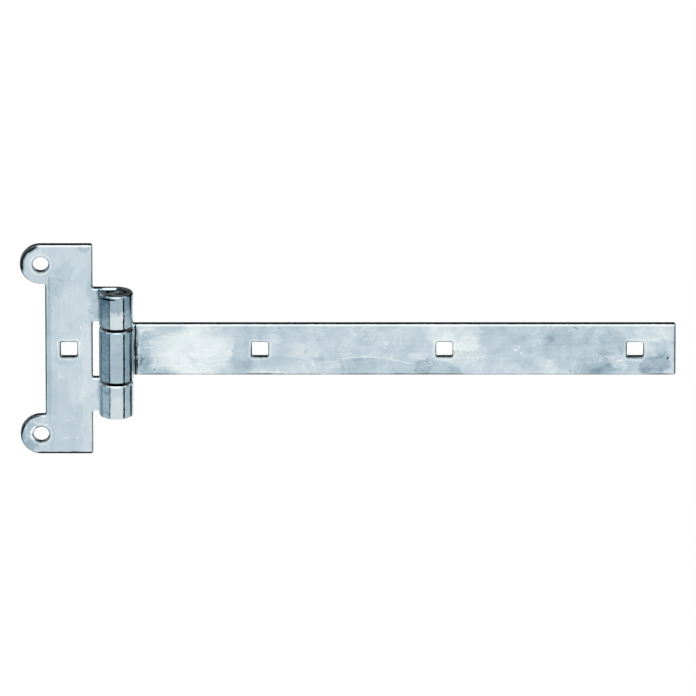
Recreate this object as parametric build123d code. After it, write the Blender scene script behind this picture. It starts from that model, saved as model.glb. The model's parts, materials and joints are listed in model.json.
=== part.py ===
from build123d import *

import os
from math import asin, degrees

# A tee hinge in millimetres: an upright plate with two ears, a long strap, and the pin between them.
# Both leaves are punched from sheet and curled forward round the pin, so their backs lie flat on the wood.
# The origin is on the plate's back, midway between its two round holes.
# +X runs along the strap, +Y into the post, +Z up the pin.

# Sheet and pin
sheet = 4.0  # thickness of both leaves
pin_diameter = 11.0
pin_recess = 0.6  # how far each end of the pin lies inside the barrel
pin_chamfer = 0.8
eye_clearance = 0.1  # radial play of the strap's eye, while the plate's eyes are closed tight on the pin

# Barrel
knuckle_length = 19.5  # each of the plate's two eyes
knuckle_gap = 1.5  # between the strap's eye and each of the plate's
seam_gap = 0.5  # between a curled end and the sheet that it comes back to

# Strap
strap_length = 300.0  # barrel to free end
strap_width = 30.0
end_margin = 22.5  # free end to the outer hole
outer_pitch = 105.5  # outer hole to the middle one
inner_pitch = 102.0  # middle hole to the inner one

# Plate
plate_height = 123.0
plate_width = 26.3
barrel_clear = 3.6  # between the barrel and the plate's near edge
ear_radius = 11.5
ear_overhang = 2.4  # ear centres beyond the plate's far edge
root_radius = 1.0  # inner corners at the ears and at the tongues

# Holes and edges
square_hole = 9.0  # for the square neck of an M8 carriage bolt
square_corner = 1.0
ear_hole = 9.0  # for an 8 mm coach screw
rim_break = 0.3  # front rims of the holes
front_round = 1.2  # front outlines, drawn in by the punch
back_break = 0.5  # back outlines, where the burr is knocked off
eye_break = 0.6  # outer rims of the eyes, dressed after they are curled
corner_round = 1.3  # outer corners of both blanks, seen from the front

# Distances from the pin axis, which follow from those sizes
pin_radius = pin_diameter / 2
plate_eye = pin_radius + sheet  # outer radius of the plate's eyes
strap_bore = pin_radius + eye_clearance
strap_eye = strap_bore + sheet
near_edge = plate_eye + barrel_clear
far_edge = near_edge + plate_width
ear_centre = far_edge + ear_overhang
ear_height = plate_height / 2 - ear_radius
tongue_low = strap_width / 2 + knuckle_gap
tongue_high = tongue_low + knuckle_length
tongue_middle = (tongue_low + tongue_high) / 2
free_end = plate_eye + strap_length
outer_hole = free_end - end_margin
middle_hole = outer_hole - outer_pitch
inner_hole = middle_hole - inner_pitch

on_line = 1e-4  # how near counts as lying on a line


def off_joint(edges):
    """Those of the edges that don't lie on the line where a leaf's flat part goes over into its eye."""
    return [edge for edge in edges if abs(edge.center().X) > on_line]


def leaf_back(eye):
    """Plane of a leaf's back, with X along the strap and Y up the pin, facing the front."""
    return Plane(origin=(0, eye, 0), x_dir=(1, 0, 0), z_dir=(0, -1, 0))


def curled_eye(eye, bore, length):
    """Curl of a leaf along +X: from behind the pin round by -X and the front, nearly back to the leaf."""
    end_angle = asin((bore - seam_gap) / eye)
    curl = 270 + degrees(end_angle)
    with BuildSketch() as section:
        with BuildLine():
            outside = CenterArc((0, 0), eye, 90, curl)
            inside = CenterArc((0, 0), bore, 90, curl)
            Line(outside @ 0, inside @ 0)
            Line(outside @ 1, inside @ 1)
        make_face()
    curled = Pos(0, 0, -length / 2) * extrude(section.sketch, length)
    crosswise = curled.edges().filter_by(GeomType.LINE).filter_by(Axis.Z, reverse=True)
    curled = fillet(off_joint(crosswise), corner_round)
    outside_face = curled.faces().filter_by(GeomType.CYLINDER).sort_by(SortBy.AREA)[-1]
    return chamfer(off_joint(outside_face.outer_wire().edges()), eye_break)


def punch_squares(places):
    """Square bolt holes at these places along the leaf that is being drawn."""
    with Locations(*[(place, 0) for place in places]):
        RectangleRounded(square_hole, square_hole, square_corner, mode=Mode.SUBTRACT)


def corners_at(blank, place):
    """Corners of the blank at this place along the leaf, from the lowest up."""
    return blank.vertices().filter_by_position(Axis.X, place - on_line, place + on_line).sort_by(Axis.Y)


def soften(flat):
    """Rounds a leaf's front outline, and breaks its back outline and the front rims of its holes."""
    front = flat.faces().filter_by(Axis.Y).sort_by(Axis.Y)[0]
    outline = front.outer_wire().edges()
    flat = chamfer([edge for edge in front.edges() if edge not in outline], rim_break)
    front, back = flat.faces().filter_by(Axis.Y).sort_by(Axis.Y)
    flat = chamfer(off_joint(back.outer_wire().edges()), back_break)
    front = flat.faces().filter_by(Axis.Y).sort_by(Axis.Y)[0]
    return fillet(off_joint(front.outer_wire().edges()), front_round)


def make_frame_plate():
    """Upright leaf with an ear at each end, and two tongues curled into the outer eyes."""
    inward = plate_width / 2
    with BuildSketch(leaf_back(plate_eye)) as blank:
        with Locations((-near_edge, 0)):
            Rectangle(plate_width, plate_height, align=(Align.MAX, Align.CENTER))
        with Locations((-ear_centre, ear_height), (-ear_centre, -ear_height)):
            Circle(ear_radius)
            Rectangle(ear_overhang + inward, 2 * ear_radius, align=(Align.MIN, Align.CENTER))
        with Locations((0, tongue_middle), (0, -tongue_middle)):
            Rectangle(near_edge + inward, knuckle_length, align=(Align.MAX, Align.CENTER))
        fillet([*corners_at(blank, -near_edge)[1:-1], *corners_at(blank, -far_edge)], root_radius)
        fillet([corners_at(blank, -near_edge)[end] for end in (0, -1)], corner_round)
        with Locations((-ear_centre, ear_height), (-ear_centre, -ear_height)):
            Circle(ear_hole / 2, mode=Mode.SUBTRACT)
        punch_squares([-near_edge - inward])
    eye = mirror(curled_eye(plate_eye, pin_radius, knuckle_length), about=Plane.YZ)
    flat = soften(extrude(blank.sketch, sheet))
    return flat + Pos(0, 0, tongue_middle) * eye + Pos(0, 0, -tongue_middle) * eye


def make_strap():
    """Long leaf with three bolt holes, curled into the middle eye."""
    with BuildSketch(leaf_back(strap_eye)) as blank:
        Rectangle(free_end, strap_width, align=(Align.MIN, Align.CENTER))
        fillet(corners_at(blank, free_end), corner_round)
        punch_squares([inner_hole, middle_hole, outer_hole])
    return soften(extrude(blank.sketch, sheet)) + curled_eye(strap_eye, strap_bore, strap_width)


def make_hinge_pin():
    """Plain round bar, sawn to length and chamfered."""
    bar = Cylinder(pin_radius, 2 * (tongue_high - pin_recess))
    return chamfer(bar.edges().filter_by(GeomType.CIRCLE), pin_chamfer)


pieces = {
    "frame_plate": make_frame_plate(),
    "strap": make_strap(),
    "hinge_pin": make_hinge_pin(),
}

os.makedirs("parts", exist_ok=True)
for name, piece in pieces.items():
    placed = Pos(ear_centre, -plate_eye, 0) * piece
    export_step(placed, f"parts/{name}.step")
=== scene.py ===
import json
import math

import bpy
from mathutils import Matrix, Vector


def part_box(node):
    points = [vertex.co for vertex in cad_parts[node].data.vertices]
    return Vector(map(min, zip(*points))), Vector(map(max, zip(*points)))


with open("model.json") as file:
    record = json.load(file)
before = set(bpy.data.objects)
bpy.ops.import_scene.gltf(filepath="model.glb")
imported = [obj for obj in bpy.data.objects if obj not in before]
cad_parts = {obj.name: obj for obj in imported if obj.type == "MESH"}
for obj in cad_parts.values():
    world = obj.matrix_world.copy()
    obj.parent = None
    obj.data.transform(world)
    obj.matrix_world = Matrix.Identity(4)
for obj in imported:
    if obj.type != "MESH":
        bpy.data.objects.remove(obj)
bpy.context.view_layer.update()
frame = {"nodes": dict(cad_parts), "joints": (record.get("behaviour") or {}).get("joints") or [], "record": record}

# Frame plate
# The upright leaf that is fixed to the post: one 4 mm steel sheet, punched out with two ears and two tongues.
# The tongues are curled forward round the pin. The whole leaf is then plated with bright zinc in a tumbling
# drum, which leaves it cloudy, with hairline scratches and small pits from the other pieces.
mm_per_m = 1000.0
pin_middle = Vector(frame["joints"][0]["pos_m"])
mounts = {mount["name"]: mount for mount in frame["record"]["mounts"]}


def linear(hex_colour):
    """Linear colour of an sRGB hex value."""
    shares = [int(hex_colour[i:i + 2], 16) / 255 for i in (1, 3, 5)]
    return [s / 12.92 if s <= 0.04045 else ((s + 0.055) / 1.055) ** 2.4 for s in shares] + [1]


def add_node(tree, kind, inputs, output=0, **settings):
    """Adds a node and returns one of its outputs. Each input is a value, or the output that feeds it.

    A Mix node's inputs are 0 for the factor, 2 and 3 for numbers, and 6 and 7 for colours, which leave by 2.
    """
    made = tree.nodes.new("ShaderNode" + kind)
    for name, value in settings.items():
        setattr(made, name, value)
    for name, value in inputs.items():
        if isinstance(value, bpy.types.NodeSocket):
            tree.links.new(value, made.inputs[name])
        else:
            made.inputs[name].default_value = value
    return made.outputs[output]


def metal(name):
    """A material with a plain metal shader. Returns the material, its node tree and the shader."""
    material = bpy.data.materials.new(name)
    material.use_nodes = True
    shader = material.node_tree.nodes["Principled BSDF"]
    shader.inputs["Metallic"].default_value = 1
    return material, material.node_tree, shader


def object_mm(tree):
    """Place on the piece in millimetres."""
    place = add_node(tree, "TexCoord", {}, "Object")
    return add_node(tree, "VectorMath", {0: place, "Scale": mm_per_m}, operation="SCALE")


no_limit = 1000.0  # a half size in mm that takes in the whole piece that way


def plating_and_painted_light_mark(tree, tone, spot, mark):
    """The tone with an oval mark, of plating or wear or painted light: its middle and half sizes in mm along X and
    Z, its turn and strength.
    """
    (x, z), (half_x, half_z), turn, strength = mark
    inputs = {
        "Vector": spot,
        "Location": (x, 0, z),
        "Rotation": (0, math.radians(turn), 0),
        "Scale": (half_x, no_limit, half_z),
    }
    from_middle = add_node(tree, "Mapping", inputs, vector_type="TEXTURE")
    reach = add_node(tree, "VectorMath", {0: from_middle}, "Value", operation="LENGTH")
    fade_start = 0.88  # as a share of the half size
    inputs = {"Value": reach, "From Min": fade_start, "From Max": 1, "To Min": strength, "To Max": 0}
    amount = add_node(tree, "MapRange", inputs, interpolation_type="SMOOTHSTEP")
    return add_node(tree, "Math", {0: tone, 1: amount}, operation="ADD")


def hole_rim_painted_light(tree, tone, spot, hole):
    """The tone with painted shade at a hole's edge, and a painted highlight ring where the punch drew the sheet
    in.
    """
    (x, z), straight, corner = hole
    from_middle = add_node(tree, "VectorMath", {0: spot, 1: (x, 0, z)}, operation="SUBTRACT")
    from_middle = add_node(tree, "VectorMath", {0: from_middle}, operation="ABSOLUTE")
    inputs = {0: from_middle, 1: (straight / 2, no_limit, straight / 2)}
    past_straight = add_node(tree, "VectorMath", inputs, operation="SUBTRACT")
    past_straight = add_node(tree, "VectorMath", {0: past_straight, 1: (0, 0, 0)}, operation="MAXIMUM")
    reach = add_node(tree, "VectorMath", {0: past_straight}, "Value", operation="LENGTH")
    # The distances in mm from the hole's wall at which each starts to fade and is gone, and its strength
    # The pale ring is a painted highlight and the dark rim is painted shade
    painted_highlight_ring = (1.5, 2.3, 0.12)
    painted_shade_rim = (0.3, 0.8, -0.5)
    for fade_start, fade_end, strength in (painted_highlight_ring, painted_shade_rim):
        inputs = {
            "Value": reach,
            "From Min": corner + fade_start,
            "From Max": corner + fade_end,
            "To Min": strength,
            "To Max": 0,
        }
        amount = add_node(tree, "MapRange", inputs, interpolation_type="SMOOTHSTEP")
        tone = add_node(tree, "Math", {0: tone, 1: amount}, operation="ADD")
    return tone


def painted_ear_rim_reflection(tree, tone, spot, rim):
    """The tone with a painted dark reflection on one side of an ear: its middle, radii of the fade, strength and
    side.
    """
    (x, z), clear_radius, dark_radius, strength, side_angle = rim
    from_middle = add_node(tree, "VectorMath", {0: spot, 1: (x, 0, z)}, operation="SUBTRACT")
    from_middle = add_node(tree, "VectorMath", {0: from_middle, 1: (1, 0, 1)}, operation="MULTIPLY")
    reach = add_node(tree, "VectorMath", {0: from_middle}, "Value", operation="LENGTH")
    inputs = {
        "Value": reach,
        "From Min": clear_radius,
        "From Max": dark_radius,
        "To Min": 0,
        "To Max": strength,
    }
    amount = add_node(tree, "MapRange", inputs, interpolation_type="SMOOTHSTEP")
    past_ear = 12.3  # mm, just outside the ear, where the plate begins
    within = add_node(tree, "Math", {0: reach, 1: past_ear}, operation="LESS_THAN")
    amount = add_node(tree, "Math", {0: amount, 1: within}, operation="MULTIPLY")
    towards = (math.cos(math.radians(side_angle)), 0, math.sin(math.radians(side_angle)))
    side = add_node(tree, "VectorMath", {0: from_middle, 1: towards}, "Value", operation="DOT_PRODUCT")
    side_start = 0.55 * dark_radius
    side_full = 0.85 * dark_radius
    side = add_node(tree, "MapRange", {"Value": side, "From Min": side_start, "From Max": side_full})
    return add_node(tree, "Math", {0: amount, 1: side, 2: tone}, operation="MULTIPLY_ADD")


def outside_eyes(tree, spot):
    """1 on a leaf's flat part and 0 on the eye that is curled from it."""
    eye_radius = 9.75  # mm, just over that of the eyes
    inputs = {"Vector": spot, "Location": pin_middle * mm_per_m, "Scale": (eye_radius, eye_radius, no_limit)}
    from_pin = add_node(tree, "Mapping", inputs, vector_type="TEXTURE")
    reach = add_node(tree, "VectorMath", {0: from_pin}, "Value", operation="LENGTH")
    return add_node(tree, "Math", {0: reach, 1: 1.0}, operation="GREATER_THAN")


def undressed_parts(tree, spot, flat):
    """1 on a leaf's flat part and where an eye faces a gap, 0 towards the two dressed ends of the barrel."""
    gap_reach = 25.0  # mm from the barrel's middle, past both gaps and short of both ends
    along_pin = add_node(tree, "SeparateXYZ", {"Vector": spot}, "Z")
    along_pin = add_node(tree, "Math", {0: along_pin}, operation="ABSOLUTE")
    inside = add_node(tree, "Math", {0: along_pin, 1: gap_reach}, operation="LESS_THAN")
    return add_node(tree, "Math", {0: inside, 1: flat}, operation="MAXIMUM")


def cut_edges_and_painted_reflections(tree, flat):
    """1 where the sheet was sheared or punched, 0 on its rolled faces, from the way the surface faces. It also
    takes in the outer part of the rounded front edges, where the dark cut colour is painted dark reflection.
    """
    facing = add_node(tree, "TexCoord", {}, "Normal")
    upright = add_node(tree, "SeparateXYZ", {"Vector": facing}, "Z")
    sideways = add_node(tree, "SeparateXYZ", {"Vector": facing}, "X")
    # On an eye only the ends are cut, so there neither the curl nor its dressed rims count
    sideways = add_node(tree, "Math", {0: sideways, 1: flat}, operation="MULTIPLY")
    on_rims = 0.80  # share of the upward lean that counts on an eye
    level = add_node(tree, "Mix", {0: flat, 2: on_rims, 3: 1.0})
    upright = add_node(tree, "Math", {0: upright, 1: level}, operation="MULTIPLY")
    lean = add_node(tree, "CombineXYZ", {"X": sideways, "Z": upright})
    lean = add_node(tree, "VectorMath", {0: lean}, "Value", operation="LENGTH")
    # Between these leans lies the outer part of the rounded front edge, which takes the cut colour as painted dark
    # reflection
    face_lean = 0.57  # up to here a rolled face
    edge_lean = 0.78  # from here a cut edge
    inputs = {"Value": lean, "From Min": face_lean, "From Max": edge_lean}
    return add_node(tree, "MapRange", inputs, interpolation_type="SMOOTHSTEP")


# Nearly all of a noise pattern lies between the low value and the high one
noise_low = 0.3
noise_middle = 0.5
noise_high = 0.7


def ragged(tree, spot, rolling):
    """The place shifted far and the place shifted slightly, for ragged borders along the rolling."""
    ripple_mm = 8.0
    far_mm = 16.0
    slight_mm = 2.0
    lengthwise = add_node(tree, "VectorMath", {0: spot, 1: rolling}, operation="DIVIDE")
    inputs = {"Vector": lengthwise, "Scale": 1 / ripple_mm, "Detail": 6, "Roughness": 0.65}
    ripple = add_node(tree, "TexNoise", inputs, "Color")
    ripple = add_node(tree, "VectorMath", {0: ripple, 1: [noise_middle] * 3}, operation="SUBTRACT")
    places = []
    for shift_mm in (far_mm, slight_mm):
        shift = add_node(tree, "VectorMath", {0: ripple, "Scale": shift_mm}, operation="SCALE")
        places.append(add_node(tree, "VectorMath", {0: spot, 1: shift}, operation="ADD"))
    return places


def clouding(tree, spot, rippled, flat, middle_tone, cloud_tone):
    """The plating's tone before wear, and three of its patterns: clouds, mottling and groups of lines."""
    # The tool that rolls the eyes burnishes them, so most of the clouding is gone from there
    left_on_eyes = 0.35
    cloudy = add_node(tree, "Mix", {0: flat, 2: left_on_eyes, 3: 1.0})

    cloud_mm = 26.0
    clouds = add_node(tree, "TexNoise", {"Vector": rippled, "Scale": 1 / cloud_mm, "Detail": 2})
    inputs = {
        "Value": clouds,
        "From Min": noise_low,
        "From Max": noise_high,
        "To Min": middle_tone - cloud_tone,
        "To Max": middle_tone + cloud_tone,
    }
    tone = add_node(tree, "MapRange", inputs)

    # Most of the clouding falls in steps, so that patches of even tone meet at crisp borders
    step = 0.06
    stepped_share = 0.8
    stepped = add_node(tree, "Math", {0: tone, 1: step}, operation="SNAP")
    stepped = add_node(tree, "Math", {0: stepped, 1: step / 2}, operation="ADD")
    tone = add_node(tree, "Mix", {0: stepped_share, 2: tone, 3: stepped})
    tone = add_node(tree, "Mix", {0: cloudy, 2: middle_tone, 3: tone})

    mottle_mm = 7.0
    mottle_tone = 0.9 * cloud_tone
    mottle = add_node(tree, "TexNoise", {"Vector": rippled, "Scale": 1 / mottle_mm, "Detail": 4})
    inputs = {
        "Value": mottle,
        "From Min": noise_low,
        "From Max": noise_high,
        "To Min": -mottle_tone,
        "To Max": mottle_tone,
    }
    amount = add_node(tree, "MapRange", inputs)
    tone = add_node(tree, "Math", {0: amount, 1: cloudy, 2: tone}, operation="MULTIPLY_ADD")

    # Pale lines follow some borders between the clouds, and finer ones those of the mottling, in groups
    group_mm = 15.0
    group_edge = 0.49
    group_core = 0.60
    groups = add_node(tree, "TexNoise", {"Vector": spot, "Scale": 1 / group_mm, "Detail": 2})
    groups = add_node(tree, "MapRange", {"Value": groups, "From Min": group_edge, "From Max": group_core})
    groups = add_node(tree, "Math", {0: groups, 1: cloudy}, operation="MULTIPLY")
    border_step = 0.035  # between one border and the next, in the noise of the clouds
    from_border = add_node(tree, "Math", {0: clouds, 1: border_step}, operation="PINGPONG")
    from_fine_border = add_node(tree, "Math", {0: mottle, 1: noise_middle}, operation="SUBTRACT")
    from_fine_border = add_node(tree, "Math", {0: from_fine_border}, operation="ABSOLUTE")
    # How far off its border each starts to fade and is gone, in that noise, and how pale it is
    line = (from_border, 0.002, 0.007, 1.3 * cloud_tone)
    fine_line = (from_fine_border, 0.004, 0.014, 1.2 * cloud_tone)
    for off_line, fade_start, fade_end, line_tone in (line, fine_line):
        inputs = {
            "Value": off_line,
            "From Min": fade_start,
            "From Max": fade_end,
            "To Min": line_tone,
            "To Max": 0,
        }
        amount = add_node(tree, "MapRange", inputs)
        tone = add_node(tree, "Math", {0: amount, 1: groups, 2: tone}, operation="MULTIPLY_ADD")
    return tone, clouds, mottle, groups


def front_only(tree, tone, plain):
    """The tone as it is, except on the back, which gets the plain one."""
    front_lean = 0.5
    back_lean = 0.7
    facing = add_node(tree, "TexCoord", {}, "Normal")
    behind = add_node(tree, "SeparateXYZ", {"Vector": facing}, "Y")
    behind = add_node(tree, "MapRange", {"Value": behind, "From Min": front_lean, "From Max": back_lean})
    return add_node(tree, "Mix", {0: behind, 2: tone, 3: plain})


def rolled_streaks(tree, spot, rolling):
    """Fine streaks along the rolling of the sheet, drawn coarser than the real ones so that they show."""
    streak_mm = 2.2
    # Streaks are drawn out much further than the ragged borders
    drawn_out = [stretch ** 3 for stretch in rolling]
    along = add_node(tree, "VectorMath", {0: spot, 1: drawn_out}, operation="DIVIDE")
    return add_node(tree, "TexNoise", {"Vector": along, "Scale": 1 / streak_mm, "Detail": 4})


def knocked(tree, tone, rippled, groups):
    """The tone with pale flecks in groups and a few dark pits, where pieces knocked together in the drum."""
    fleck_mm = 1.7
    fleck_edge = 0.60
    fleck_core = 0.70
    fleck_tone = 0.22
    flecks = add_node(tree, "TexNoise", {"Vector": rippled, "Scale": 1 / fleck_mm, "Detail": 2})
    inputs = {
        "Value": flecks,
        "From Min": fleck_edge,
        "From Max": fleck_core,
        "To Min": 0,
        "To Max": fleck_tone,
    }
    amount = add_node(tree, "MapRange", inputs)
    tone = add_node(tree, "Math", {0: amount, 1: groups, 2: tone}, operation="MULTIPLY_ADD")

    pit_spacing_mm = 7.0
    pit_core_mm = 0.35
    pit_edge_mm = 0.70
    pit_tone = -0.3
    clean_share = 0.82  # of the places where a pit could be, those that have none
    cells = {"Vector": rippled, "Scale": 1 / pit_spacing_mm, "Randomness": 1}
    inputs = {
        "Value": add_node(tree, "TexVoronoi", cells, "Distance"),
        "From Min": pit_core_mm / pit_spacing_mm,
        "From Max": pit_edge_mm / pit_spacing_mm,
        "To Min": pit_tone,
        "To Max": 0,
    }
    pit = add_node(tree, "MapRange", inputs)
    pitted = add_node(tree, "TexVoronoi", cells, "Color")
    pitted = add_node(tree, "SeparateColor", {"Color": pitted}, "Red")
    pitted = add_node(tree, "Math", {0: pitted, 1: clean_share}, operation="GREATER_THAN")
    return add_node(tree, "Math", {0: pit, 1: pitted, 2: tone}, operation="MULTIPLY_ADD")


def sheared(tree, tears, mottle, undressed):
    """Colour of the cut edges: grey and torn with bright plating in it, and dressed at the barrel's ends."""
    torn = add_node(tree, "ValToRGB", {"Fac": tears})
    torn.node.color_ramp.elements[0].position = 0.35
    torn.node.color_ramp.elements[0].color = linear("#434c52")
    torn.node.color_ramp.elements[1].position = 0.70
    torn.node.color_ramp.elements[1].color = linear("#98a4ab")
    scuff_low = 0.40
    scuff_high = 0.60
    scuffs = add_node(tree, "MapRange", {"Value": mottle, "From Min": scuff_low, "From Max": scuff_high})
    inputs = {0: scuffs, 6: linear("#566168"), 7: linear("#dbe3e6")}
    dressed = add_node(tree, "Mix", inputs, 2, data_type="RGBA")
    return add_node(tree, "Mix", {0: undressed, 6: dressed, 7: torn}, 2, data_type="RGBA")


def zinc_relief(tree, flat, cut_edge_and_painted_reflection, undressed, tears, streaks, mottle):
    """Relief of the sheet: torn edges, streaks, a slightly uneven curl, and scuffs on the dressed ends."""
    # Depths in mm, deeper than the real ones so that they show
    one_mm = 1 / mm_per_m
    relief_strength = 0.5
    eye_tears = 1.8
    leaf_tears = 0.3
    dressed_tears = 0.4
    streak_depth = 0.012
    curl_depth = 0.25
    scuff_depth = 3.5
    depth = add_node(tree, "Mix", {0: flat, 2: eye_tears, 3: leaf_tears})
    depth = add_node(tree, "Mix", {0: undressed, 2: dressed_tears, 3: depth})
    depth = add_node(tree, "Math", {0: depth, 1: cut_edge_and_painted_reflection}, operation="MULTIPLY")
    height = add_node(tree, "Math", {0: tears, 1: depth}, operation="MULTIPLY")
    height = add_node(tree, "Math", {0: streaks, 1: streak_depth, 2: height}, operation="MULTIPLY_ADD")
    dressed = add_node(tree, "Math", {0: cut_edge_and_painted_reflection, 1: undressed}, operation="SUBTRACT")
    dressed = add_node(tree, "Math", {0: dressed, 1: 0.0}, operation="MAXIMUM")
    uneven = add_node(tree, "Mix", {0: flat, 2: curl_depth, 3: 0})
    uneven = add_node(tree, "Mix", {0: dressed, 2: uneven, 3: scuff_depth})
    height = add_node(tree, "Math", {0: mottle, 1: uneven, 2: height}, operation="MULTIPLY_ADD")
    return add_node(tree, "Bump", {"Height": height, "Strength": relief_strength, "Distance": one_mm})


def bright_zinc(name, middle_tone, cloud_tone, rolling, marks, wear_and_painted_light, holes, painted_rim_reflections):
    """Bright zinc plated on rolled steel sheet.

    To the eye it is a bluish white metal that mirrors softly, cloudy and streaked, with worn lines, flecks
    and pits. The burnished eyes mirror sharply, and the cut edges are dark and torn; the same dark colour on the
    outer part of the rounded front edges is painted dark reflection. A tone runs from 0 for grime and the darkest
    painted shade to 1 for the palest zinc, and the strength of each mark, rim and line is added to it. Some marks
    and lines, the ear rims and the hole rims are painted shade, dark reflections and highlights.
    """
    material, tree, shader = metal(name)
    spot = object_mm(tree)
    flat = outside_eyes(tree, spot)
    undressed = undressed_parts(tree, spot, flat)
    cut_edge_and_painted_reflection = cut_edges_and_painted_reflections(tree, flat)
    rippled, slightly_rippled = ragged(tree, spot, rolling)

    plain, clouds, mottle, groups = clouding(tree, spot, rippled, flat, middle_tone, cloud_tone)
    tone = plain
    # Marks and lines, some of them painted shade, dark reflections and highlights
    for mark in marks:
        tone = plating_and_painted_light_mark(tree, tone, rippled, mark)
    for mark in wear_and_painted_light:
        tone = plating_and_painted_light_mark(tree, tone, slightly_rippled, mark)
    # Painted dark reflections towards the ears' rounded outlines
    for rim in painted_rim_reflections:
        tone = painted_ear_rim_reflection(tree, tone, slightly_rippled, rim)
    tone = front_only(tree, tone, plain)
    # Painted shade and a painted highlight ring round each hole
    for hole in holes:
        tone = hole_rim_painted_light(tree, tone, slightly_rippled, hole)

    streaks = rolled_streaks(tree, spot, rolling)
    streak_tone = 0.014 + 0.15 * cloud_tone
    inputs = {
        "Value": streaks,
        "From Min": noise_low,
        "From Max": noise_high,
        "To Min": -streak_tone,
        "To Max": streak_tone,
    }
    amount = add_node(tree, "MapRange", inputs)
    tone = add_node(tree, "Math", {0: tone, 1: amount}, operation="ADD")
    tone = knocked(tree, tone, rippled, groups)

    zinc = add_node(tree, "ValToRGB", {"Fac": tone})
    shades = zinc.node.color_ramp
    shades.elements[0].color = linear("#20282d")
    shades.elements[1].color = linear("#fbfefe")
    shades.elements.new(0.04).color = linear("#455259")
    shades.elements.new(0.12).color = linear("#7d929d")
    shades.elements.new(0.30).color = linear("#a9bdc8")
    shades.elements.new(0.50).color = linear("#c6d4dc")
    shades.elements.new(0.72).color = linear("#e0e9eb")

    # Tears in the sheared metal, drawn coarser than the real ones so that they show
    tear_mm = 1.6
    tears = add_node(tree, "TexNoise", {"Vector": spot, "Scale": 1 / tear_mm, "Detail": 3, "Distortion": 0.8})
    cut = sheared(tree, tears, mottle, undressed)
    # The cut colour goes on the cut edges, and on the outer part of the rounded front edges as painted dark
    # reflection
    mixed = add_node(tree, "Mix", {0: cut_edge_and_painted_reflection, 6: zinc, 7: cut}, 2, data_type="RGBA")
    tree.links.new(mixed, shader.inputs["Base Color"])

    # The clouds are duller where they are pale, the burnished eyes are smooth and the cut edges are rough
    dark_cloud = 0.35
    pale_cloud = 0.65
    dark_roughness = 0.18
    pale_roughness = 0.26
    burnished_roughness = 0.07
    cut_roughness = 0.3
    inputs = {
        "Value": clouds,
        "From Min": dark_cloud,
        "From Max": pale_cloud,
        "To Min": dark_roughness,
        "To Max": pale_roughness,
    }
    roughness = add_node(tree, "MapRange", inputs)
    roughness = add_node(tree, "Mix", {0: flat, 2: burnished_roughness, 3: roughness})
    roughness = add_node(tree, "Mix", {0: cut_edge_and_painted_reflection, 2: roughness, 3: cut_roughness})
    tree.links.new(roughness, shader.inputs["Roughness"])

    relief = zinc_relief(tree, flat, cut_edge_and_painted_reflection, undressed, tears, streaks, mottle)
    tree.links.new(relief, shader.inputs["Normal"])
    return material


# Sizes in mm of a square bolt hole: the straight part of each side, and the radius of its corners
square_straight = 7.0
square_corner = 1.0


def bolt_hole(name):
    """A square bolt hole: its middle in mm along X and Z, from its mount, and its two sizes."""
    x, _, z = mounts[name]["pos_m"]
    return (x * mm_per_m, z * mm_per_m), square_straight, square_corner


# Patches with very ragged borders, darker below zero and paler above. Most are cloudy plating; the two by the
# upper tongue's root are painted shade of its bend, and the last three, on the eyes, are painted light.
plate_marks = [
    ((6, 0), (4, 70), 0, -0.04),
    ((15, -5.5), (8, 4.5), 0, -0.08),
    ((26, -24), (5, 42), 0, 0.07),
    # Painted shade where the sheet bends at the upper tongue's root
    ((28, 37), (4, 6), -10, -0.10),
    ((30, 26), (4, 8), 0, -0.14),
    ((24.5, 60), (5, 1.4), 8, -0.16),
    ((13, 46), (4, 8), 10, -0.08),
    ((9, 36), (5, 7), -15, -0.07),
    ((-7, -53), (6, 9), 0, -0.12),
    ((-5.5, -56.5), (4.5, 3.5), 30, -0.10),
    ((-5, -44), (6, 3.5), -30, -0.08),
    # Painted light: the upper eye mirrors darker near its top and paler below, and the lower eye paler
    ((41.8, 35), (12, 11), 0, -0.23),
    ((41.8, 17), (12, 7), 0, 0.12),
    ((41.8, -33), (12, 12), 0, 0.09),
]
# Dark lines along the outline and the eyes, all painted shade and painted dark reflections, then pale scratches
# and flecks, of which the two strokes on the lower ear's hole rim are painted highlights
plate_wear_and_painted_light = [
    # Painted dark reflection on the lower ear's left rounding
    ((-10.4, -48.5), (1.5, 6.0), 0, -0.10),
    # Painted shade along the bottom edge
    ((14, -61.2), (30, 1.1), 0, -1.0),
    # Painted shade in the notch between each plate eye and its tongue
    ((32.3, 26), (0.6, 30), 0, -0.22),
    ((32.3, -26), (0.6, 30), 0, -0.22),
    # Painted dark reflection under the upper eye's top rim
    ((37, 34.3), (4.8, 0.7), 0, -0.35),
    # Painted dark reflections along the neck's rounded left edge
    ((4.6, 0), (1.1, 48), 0, -0.12),
    ((2.6, 0), (0.7, 38), 0, -0.30),
    # Painted highlights on the lower ear's hole rim
    ((-4.7, -47.6), (0.8, 2.7), 34, 0.4),
    ((-4.8, -52.0), (0.7, 2.2), -40, 0.4),
    ((-8.6, -46), (0.6, 0.6), 0, 0.3),
    ((-7.8, -50.6), (0.5, 0.5), 0, 0.25),
    ((-3.2, -43.4), (1.0, 0.5), 30, 0.25),
    ((3.2, -44.2), (0.9, 0.5), -20, 0.3),
    ((11.6, -16.3), (1.6, 0.4), 20, 0.2),
    ((13.5, -52), (2.0, 0.4), 5, 0.2),
    ((22, 13), (0.5, 0.9), 0, 0.25),
    ((20, -52), (1.4, 0.4), -30, 0.15),
]
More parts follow.
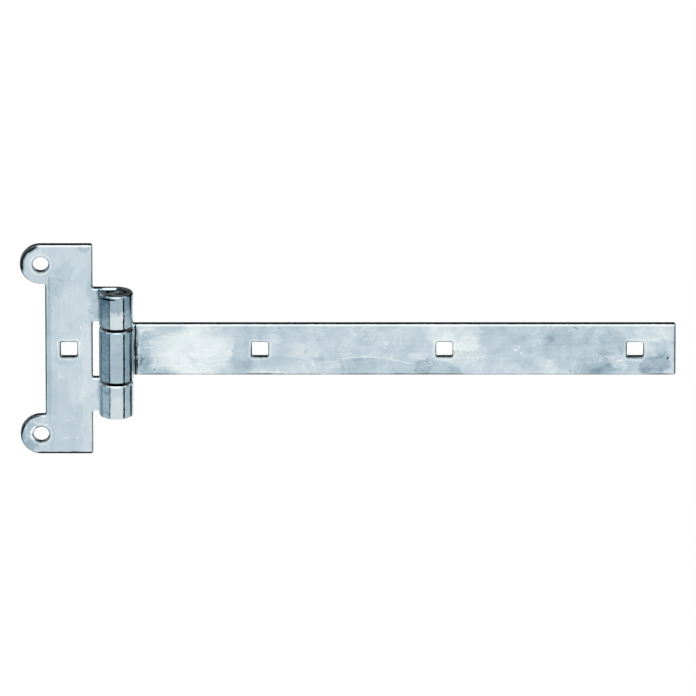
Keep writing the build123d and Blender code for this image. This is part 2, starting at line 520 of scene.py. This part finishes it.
# Holes to draw the painted shade and highlight rims round. A round one has no straight part.
ear_screws = mounts["plate_screw_holes"]["dims"]
ear_height = ear_screws["spacing_y_mm"] / 2
upper_ear = (0, ear_height)
lower_ear = (0, -ear_height)
plate_holes = [
    bolt_hole("plate_bolt_hole"),
    (upper_ear, 0, ear_screws["hole_r_mm"]),
    (lower_ear, 0, ear_screws["hole_r_mm"]),
]
# Painted dark reflections towards the ears' rounded outlines, between two radii in mm, on the side at an angle in
# degrees from +X
plate_painted_rim_reflections = [
    (upper_ear, 8.4, 9.3, -0.34, 150),
    (upper_ear, 9.3, 10.2, -0.45, 150),
    (upper_ear, 10.7, 11.1, -0.40, 225),
    (lower_ear, 9.9, 10.7, -0.50, 132),
    (lower_ear, 10.7, 11.1, -0.40, 225),
]
plate_middle_tone = 0.48
plate_cloud_tone = 0.03
rolled_upright = (1, 1, 2.5)  # how far the rolling draws the patterns out along X, Y and Z
plate = frame["nodes"]["frame_plate"]
plate.material_slots[0].material = bright_zinc(
    "bright_zinc_on_plate",
    plate_middle_tone,
    plate_cloud_tone,
    rolled_upright,
    plate_marks,
    plate_wear_and_painted_light,
    plate_holes,
    plate_painted_rim_reflections,
)

# Hinge pin
# A plain round steel bar, held tight in the plate's two eyes. Its ends are sawn and lie just inside the
# barrel, so they take little plating and stay dull. The rest shows only in the gaps and is coloured near black
# there as painted shade.


def sawn_steel(name):
    """Sawn steel bar. To the eye its ends are dull, with saw marks one way, and the rest is near black as painted
    shade in the gaps.
    """
    material, tree, shader = metal(name)
    spot = object_mm(tree)
    chamfer_facing = 0.8
    end_facing = 0.95
    facing = add_node(tree, "SeparateXYZ", {"Vector": add_node(tree, "TexCoord", {}, "Normal")}, "Z")
    end = add_node(tree, "Math", {0: facing}, operation="ABSOLUTE")
    end = add_node(tree, "MapRange", {"Value": end, "From Min": chamfer_facing, "From Max": end_facing})

    # Sizes in mm along the saw marks, across them and down the bar, coarser than real so that they show
    saw_mark_mm = (16.0, 2.0, 9.0)
    saw_turn = math.radians(38)
    inputs = {"Vector": spot, "Rotation": (0, 0, saw_turn), "Scale": saw_mark_mm}
    across = add_node(tree, "Mapping", inputs, vector_type="TEXTURE")
    saw_marks = add_node(tree, "TexNoise", {"Vector": across, "Scale": 1, "Detail": 2})
    sawn = add_node(tree, "ValToRGB", {"Fac": saw_marks})
    sawn.node.color_ramp.elements[0].position = 0.40
    sawn.node.color_ramp.elements[0].color = linear("#343c41")
    sawn.node.color_ramp.elements[1].position = 0.62
    sawn.node.color_ramp.elements[1].color = linear("#ccd5d9")
    # Away from the sawn ends the bar is near black: painted shade for the gaps between the eyes
    mixed = add_node(tree, "Mix", {0: end, 6: linear("#0d0f11"), 7: sawn}, 2, data_type="RGBA")
    tree.links.new(mixed, shader.inputs["Base Color"])
    shader.inputs["Roughness"].default_value = 0.3
    saw_depth = 0.0025  # m, deeper than real so that the marks show
    inputs = {"Height": saw_marks, "Strength": 1.0, "Distance": saw_depth}
    tree.links.new(add_node(tree, "Bump", inputs), shader.inputs["Normal"])
    return material


pin = frame["nodes"]["hinge_pin"]
pin.material_slots[0].material = sawn_steel("sawn_steel_of_pin")

# Strap
# The long leaf that is bolted to the gate or shutter: one flat steel bar with three square holes for carriage
# bolts. Its end is curled forward round the pin into the middle eye and swings there, and it is plated as the
# plate is.

# Cloudy patches, as on the plate. The one beside the eye is painted shade, and the last one, on the eye, is
# painted light that makes the eye mirror darker.
strap_marks = [
    ((82, -2), (26, 13), 0, 0.10),
    ((85.5, -1), (22, 17), 0, 0.11),
    # Painted shade on the bar beside the eye
    ((57, -3), (5, 16), 0, -0.15),
    ((112, -2), (7, 22), 0, -0.07),
    ((139, 8), (13, 8), 0, 0.04),
    ((150, -9), (40, 6), 0, -0.07),
    ((190, -11), (30, 6), 0, -0.06),
    ((180, 8), (18, 6), 0, 0.05),
    ((229, 9), (17, 9), 0, 0.13),
    ((238, -4), (9, 13), 0, 0.09),
    ((219, -12), (14, 6), 0, -0.09),
    ((255, 9), (16, 7), 0, -0.05),
    ((259, -8), (14, 6), 0, -0.06),
    ((301, 2), (25, 16), 0, -0.10),
    ((295, 8), (12, 7), 0, -0.05),
    ((307, -11), (12, 5), 0, -0.10),
    ((282, -10), (5, 5), 0, 0.08),
    ((319, -7), (6, 5), -20, 0.10),
    ((339, 9), (11, 5), 20, 0.07),
    ((342, 0), (3.4, 5), 0, -0.12),
    ((339.5, -8.5), (9.5, 6.5), 0, -0.21),
    # Painted light: the middle eye mirrors darker
    ((41.8, 0), (14, 24), 0, -0.16),
]
# Painted lines where the bar meets its eye, scratches, flecks and painted glints along it, painted shade and
# highlights on its lower edge, and a dark line at its free end
strap_wear_and_painted_light = [
    # Painted dark reflection and painted highlight on the eye's flank, then painted shadow on the bar beside it
    ((49.8, 0), (0.7, 40), 0, -0.25),
    ((50.7, 0), (0.4, 40), 0, 0.35),
    ((52.2, 0), (0.6, 40), 0, -0.40),
    ((52.8, 0), (0.8, 40), 0, -0.12),
    ((54.3, -3), (0.6, 16), 2, 0.16),
    ((56.5, 11.6), (2.6, 0.5), -12, 0.20),
    ((58.2, 8.4), (2.0, 0.5), 25, 0.18),
    ((55.6, 9.6), (0.6, 2.4), 10, 0.16),
    ((61, 12.3), (2.2, 0.4), -4, 0.14),
    ((172, -4.7), (9, 0.4), -5, 0.2),
    ((185, -4.7), (9, 0.4), 4, 0.2),
    ((199, -6.8), (10, 0.4), 11, 0.2),
    ((60, 1), (3.0, 0.6), -4, 0.22),
    ((97, -6.5), (8, 0.5), -8, 0.12),
    ((160, -7), (10, 0.4), -9, 0.12),
    # Painted glints
    ((263, 0), (0.9, 0.6), 0, 0.4),
    ((266, -2), (1.4, 0.5), 50, 0.35),
    ((264.6, 1.6), (0.8, 0.4), 20, 0.3),
    ((64.4, -7), (0.6, 0.6), 0, -0.28),
    ((62.6, -11.7), (0.6, 0.6), 0, -0.36),
    ((207, -12), (1.0, 0.4), 30, -0.15),
    ((211, -12), (0.7, 0.4), -30, -0.15),
    ((296, 12.7), (1.6, 0.45), 40, -0.25),
    ((347, -5), (0.5, 0.9), 0, -0.3),
    # Painted shade along the lower edge
    ((205, -14.7), (170, 0.8), 0, -0.34),
    ((100, -14.7), (62, 0.8), 0, -0.12),
    ((343, -14.6), (7, 0.8), 0, -0.25),
    # Painted highlights just above the lower edge
    ((128, -13.2), (9, 0.3), 1, 0.25),
    ((85, -12.8), (6, 0.3), 0, 0.2),
    ((314, -4.5), (3.0, 0.5), 20, 0.2),
    ((320, -6.5), (2.5, 0.6), -15, 0.22),
    ((323, -8.8), (2.5, 0.5), 5, 0.2),
    ((317, -9.5), (2.0, 0.5), 30, 0.18),
    ((351, 0), (0.7, 22), 0, -0.35),
]
strap_holes = [bolt_hole(f"strap_{place}_bolt_hole") for place in ("inner", "middle", "outer")]
strap_middle_tone = 0.47
strap_cloud_tone = 0.09
rolled_lengthwise = (2.5, 1, 1)
strap = frame["nodes"]["strap"]
strap.material_slots[0].material = bright_zinc(
    "bright_zinc_on_strap",
    strap_middle_tone,
    strap_cloud_tone,
    rolled_lengthwise,
    strap_marks,
    strap_wear_and_painted_light,
    strap_holes,
    [],
)

# Studio
# A white floor well below the hinge, a white room and one soft light in front of it and above.
# Grey and dark cards stand round it, out of the picture, and give the bright metal its bands and dark edges.
# Sizes are in metres.


def matt_paper(name, hex_colour, lower_hex=None):
    """Matt paper without gloss, in one colour or shading to another at the height the barrel mirrors."""
    material = bpy.data.materials.new(name)
    material.use_nodes = True
    tree = material.node_tree
    shader = tree.nodes["Principled BSDF"]
    shader.inputs["Roughness"].default_value = 1
    shader.inputs["Specular IOR Level"].default_value = 0
    if lower_hex is None:
        shader.inputs["Base Color"].default_value = linear(hex_colour)
        return material
    # Heights in m of the two colours
    shade_top = -0.50
    shade_bottom = -0.59
    height = add_node(tree, "SeparateXYZ", {"Vector": add_node(tree, "TexCoord", {}, "Object")}, "Z")
    lower = add_node(tree, "MapRange", {"Value": height, "From Min": shade_top, "From Max": shade_bottom})
    inputs = {0: lower, 6: linear(hex_colour), 7: linear(lower_hex)}
    shaded = add_node(tree, "Mix", inputs, 2, data_type="RGBA")
    tree.links.new(shaded, shader.inputs["Base Color"])
    return material


def stage_mesh(name, points, faces, material):
    """A mesh that belongs to the studio."""
    mesh = bpy.data.meshes.new(name)
    mesh.from_pydata(points, [], faces)
    mesh.materials.append(material)
    made = bpy.data.objects.new(name, mesh)
    bpy.context.scene.collection.objects.link(made)
    return made


floor_drop = 3.0
floor_reach = 14.0
corners = [(x * floor_reach, y * floor_reach, -floor_drop) for x, y in ((-1, -1), (1, -1), (1, 1), (-1, 1))]
stage_mesh("floor", corners, [(0, 1, 2, 3)], matt_paper("white_paper", "#ffffff"))


def card(name, azimuths, elevations, *hex_colours):
    """A card bent round the barrel, between two azimuths from the front towards +X and two elevations."""
    card_distance = 1.5
    steps = 24
    points = []
    for i in range(steps + 1):
        turn = math.radians(azimuths[0] + (azimuths[1] - azimuths[0]) * i / steps)
        outwards = Vector((math.sin(turn), -math.cos(turn), 0)) * card_distance
        for elevation in elevations:
            rise = card_distance * math.tan(math.radians(elevation))
            points.append(pin_middle + outwards + Vector((0, 0, rise)))
    faces = [(2 * i, 2 * i + 2, 2 * i + 3, 2 * i + 1) for i in range(steps)]
    made = stage_mesh(name, points, faces, matt_paper(name + "_card", *hex_colours))
    made.visible_camera = False
    made.visible_diffuse = False
    made.visible_shadow = False


# Seen from above, the upright barrel mirrors the cards that stand low, and the edges and ends the high ones
low = (-34, -4)
card("left_far", (-179, -146), low, "#0c1013", "#1d252a")
card("left_outer", (-146, -126), low, "#8ba1ac", "#b0c2ca")
card("left_pale", (-126, -108), low, "#93a9b3", "#dbe6ea")
card("left_grey", (-108, -49), low, "#728b96", "#bccdd5")
card("left_line", (-49, -42), low, "#10161a", "#26323a")
card("left_high", (-130, -112), (4, 62), "#101417")
card("right_line", (46, 59), low, "#080b0e")
card("right_pale", (59, 66), low, "#c9d5da", "#e6eef1")
card("right_grey", (66, 104), low, "#a4b5bd", "#c8d4d9")
card("right_far", (104, 128), low, "#0c1013", "#39444a")
card("back_dark", (100, 260), (7, 74), "#0b0d0f")

light_place = Vector((0.15, -0.95, 0.74))
light_aim = Vector((0.15, 0, 0))
light_width = 1.6
light_height = 1.7
light_watts = 12
soft_light = bpy.data.lights.new("soft_light", "AREA")
soft_light.shape = "RECTANGLE"
soft_light.size = light_width
soft_light.size_y = light_height
soft_light.energy = light_watts
soft_lamp = bpy.data.objects.new("soft_light", soft_light)
soft_lamp.location = light_place
soft_lamp.rotation_euler = (light_aim - light_place).to_track_quat("-Z", "Y").to_euler()
bpy.context.scene.collection.objects.link(soft_lamp)

room = bpy.data.worlds.new("white_room")
room.use_nodes = True
room.node_tree.nodes["Background"].inputs["Color"].default_value = linear("#ffffff")
room.node_tree.nodes["Background"].inputs["Strength"].default_value = 1
bpy.context.scene.world = room

# Camera
# A long lens, square on to the strap and looking down at it, so that uprights stay parallel.
# Two pixel places set where the hinge lies in the picture: the pin's column and the plate's middle row.
picture_px = 696
mm_per_px = 0.5535
view_lens = 1000.0
view_rise = math.radians(20)
pin_column_px = 116.5
middle_row_px = 349.8
sheet = 0.004
half_picture = picture_px / 2 * mm_per_px / mm_per_m
camera_data = bpy.data.cameras.new("camera")
camera_data.lens = view_lens
camera = bpy.data.objects.new("camera", camera_data)
bpy.context.scene.collection.objects.link(camera)
view_distance = half_picture / (camera_data.sensor_width / 2 / view_lens)
aim = Vector((
    pin_middle.x + (picture_px / 2 - pin_column_px) * mm_per_px / mm_per_m,
    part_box("frame_plate")[1].y - sheet,
    (middle_row_px - picture_px / 2) * mm_per_px / mm_per_m / math.cos(view_rise),
))
backwards = Vector((0, -math.cos(view_rise), math.sin(view_rise)))
camera.location = aim + backwards * view_distance
camera.rotation_euler = (-backwards).to_track_quat("-Z", "Y").to_euler()
bpy.context.scene.camera = camera
bpy.context.scene.view_settings.view_transform = "Standard"
